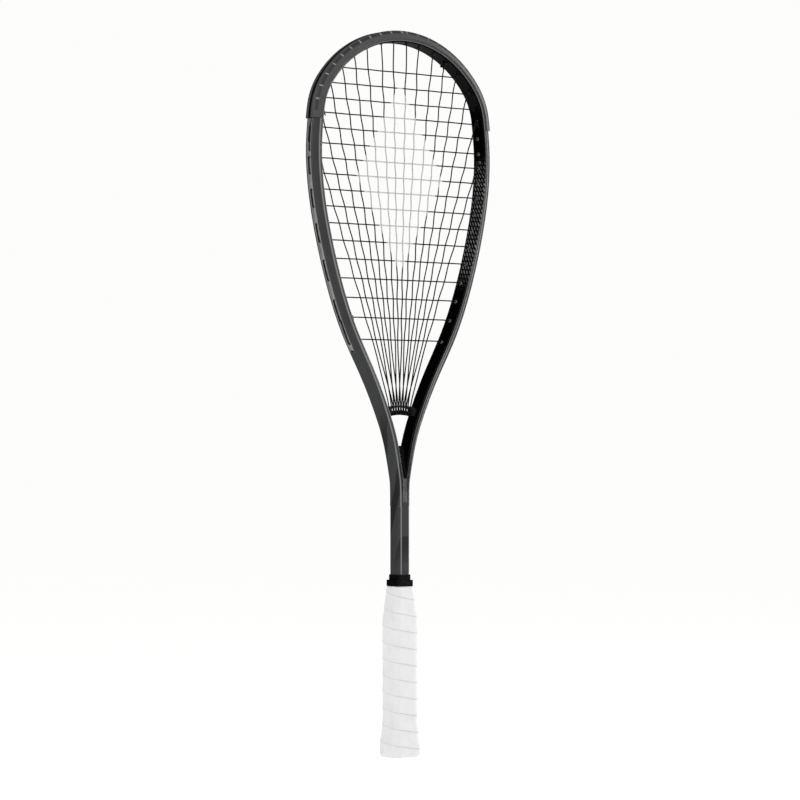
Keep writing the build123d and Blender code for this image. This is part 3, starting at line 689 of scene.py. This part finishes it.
wrap = {
    # height, half width, half depth and corner radius of the outside, in mm
    "shape": [(0.1, 15.1, 12.9, 5.7), (0.8, 15.6, 13.4, 6.0), (2.0, 16.2, 14.0, 6.6),
              (3.8, 16.6, 14.4, 7.0), (11.0, 16.5, 14.3, 7.0), (22.0, 15.3, 13.3, 6.5),
              (33.0, 14.3, 12.45, 6.0), (60.0, 14.2, 12.4, 6.0), (129.0, 14.2, 12.4, 6.0),
              (148.0, 11.3, 11.5, 4.8), (159.6, 9.3, 10.6, 4.0), (161.5, 8.3, 9.9, 3.6)],
    # rise of one turn, thickness of its edge, how far its thin part sinks, and height of the first seam, in mm
    "pitch": 15.6, "step": 0.72, "sunk": 0.42, "first": 4.4,
    "edge": 0.045, "seamWidth": 0.04, "thinning": 5.0,           # in turns
    "thickness": 0.9 * mm, "around": 128, "rise": 0.5,
}


def roundedRing(halfWidth, halfDepth, corner, count):
    # points round a rectangle with round corners, evenly by angle round each corner and along each side
    points = []
    for quarter, (cx, cy) in enumerate(((1, 1), (-1, 1), (-1, -1), (1, -1))):
        for step in range(count // 4):
            angle = (quarter + step / (count // 4 - 1)) * math.pi / 2
            points.append((cx * (halfWidth - corner) + corner * math.cos(angle),
                           cy * (halfDepth - corner) + corner * math.sin(angle)))
    ring = np.array(points + points[:1])
    length = np.concatenate([[0], np.cumsum(np.linalg.norm(np.diff(ring, axis=0), axis=1))])
    even = np.linspace(0, length[-1], count, endpoint=False)
    return np.stack([np.interp(even, length, ring[:, 0]), np.interp(even, length, ring[:, 1])], axis=1)


def makeOvergripWrap():
    stations = np.array(wrap["shape"])
    heights = np.arange(stations[0, 0], stations[-1, 0] + 0.01, wrap["rise"])
    vertices, seams = [], []
    for height in heights:
        sizes = [np.interp(height, stations[:, 0], stations[:, column]) for column in (1, 2, 3)]
        ring = roundedRing(*sizes, wrap["around"])
        for number, (x, y) in enumerate(ring):
            turn = math.atan2(y, x) / (2 * math.pi)
            phase = ((height - wrap["first"]) / wrap["pitch"] + turn) % 1.0
            # each turn lies on the one above it: full thickness at its lower edge, thinning upwards
            full = math.exp(-phase * wrap["thinning"]) if phase > wrap["edge"] else phase / wrap["edge"]
            lift = wrap["step"] * full - wrap["sunk"]
            lift *= min(1.0, max(0.0, (height - 1.0) / 3))
            size = math.hypot(x, y)
            vertices.append(((x + x / size * lift) * mm, (y + y / size * lift) * mm, height * mm))
            # the seam value marks the thin edge of each turn, where painted shade is laid on
            seams.append(max(0.0, 1 - abs(phase - 0.005) / wrap["seamWidth"]) if height > 3.5 else 0.0)
    around, rows = wrap["around"], len(heights)
    faces = []
    for base in range(0, (rows - 1) * around, around):
        for i in range(around):
            following = (i + 1) % around
            faces.append((base + i, base + following, base + around + following, base + around + i))
    # the wrap's inside, so that it is a closed sleeve
    inner = []
    for x, y, z in vertices:
        keep = 1 - wrap["thickness"] / math.hypot(x, y)
        inner.append((x * keep, y * keep, z))
    offset = len(vertices)
    inside = [tuple(offset + v for v in reversed(face)) for face in faces]
    last = (rows - 1) * around
    rims = [(i, offset + i, offset + (i + 1) % around, (i + 1) % around) for i in range(around)]
    rims += [(last + i, last + (i + 1) % around, offset + last + (i + 1) % around, offset + last + i)
             for i in range(around)]
    piece = meshPiece("wound_overgrip", vertices + inner, faces + inside + rims, overgripFelt)
    attribute = piece.data.attributes.new("seam", "FLOAT", "POINT")
    attribute.data.foreach_set("value", seams + [0.0] * len(inner))
    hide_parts("overgrip")


makeOvergripWrap()
print("overgrip wound")

ribs = {
    "pitch": 12.2 * mm, "first": 3.0 * mm, "end": 597 * mm, "endGap": 6 * mm, "softEdge": 0.04 * mm,
    "flank": (0.69, 0.72),       # outward and depth parts of the flank's normal
    "root": -0.25,               # how far a bar reaches under the flank, in mm
    # name, start and end along the hoop, outward and depth places of its inner and outer edge, height, in mm
    "bars": [("guard_ribs", (-0.3, 0.3), (5.7, 6.08), (3.1, 8.56), 0.34),
             ("guard_panels", (1.6, 10.6), (5.45, 6.32), (3.3, 8.37), 0.2)],
}
barNylon = {
    "guard_ribs": makeNylon("mouldedRibNylon", nylon["rib"], 0.4),
    "guard_panels": makeNylon("mouldedPanelNylon", nylon["panel"], 0.5),
}


def flankBar(start, end, inner, outer, proud):
    # a shallow bar on the guard's sloping flank, from start to end along the hoop, at both faces
    vertices, faces = [], []
    outwards, sideways = ribs["flank"]
    root = ribs["root"]
    for depth in (-1, 1):
        for stop in (start, end):
            for (outward, deep), lift in ((inner, root), (inner, proud), (outer, proud), (outer, root)):
                place = ((outward + outwards * lift) * mm, depth * (deep + sideways * lift) * mm)
                vertices.append(beamPoint(stop, *place))
    for base in (0, 8):
        for i in range(4):
            faces.append((base + i, base + (i + 1) % 4, base + 4 + (i + 1) % 4, base + 4 + i))
        faces += [(base, base + 3, base + 2, base + 1), (base + 4, base + 5, base + 6, base + 7)]
    return vertices, faces


def makeGuardDetail():
    last = placeAt(ribs["end"]) - ribs["endGap"]
    for name, along, inner, outer, proud in ribs["bars"]:
        vertices, faces = [], []
        stop = ribs["first"]
        while stop < last:
            for side in (-1, 1):
                start, end = (side * (stop + distance * mm) for distance in along)
                spots, sides = flankBar(start, end, inner, outer, proud)
                faces += [tuple(len(vertices) + v for v in face) for face in sides]
                vertices += spots
            stop += ribs["pitch"]
        piece = meshPiece(name, vertices, faces, barNylon[name], smooth=False)
        piece.modifiers.new("edges", "BEVEL").width = ribs["softEdge"]


makeGuardDetail()
print("guard detailed")
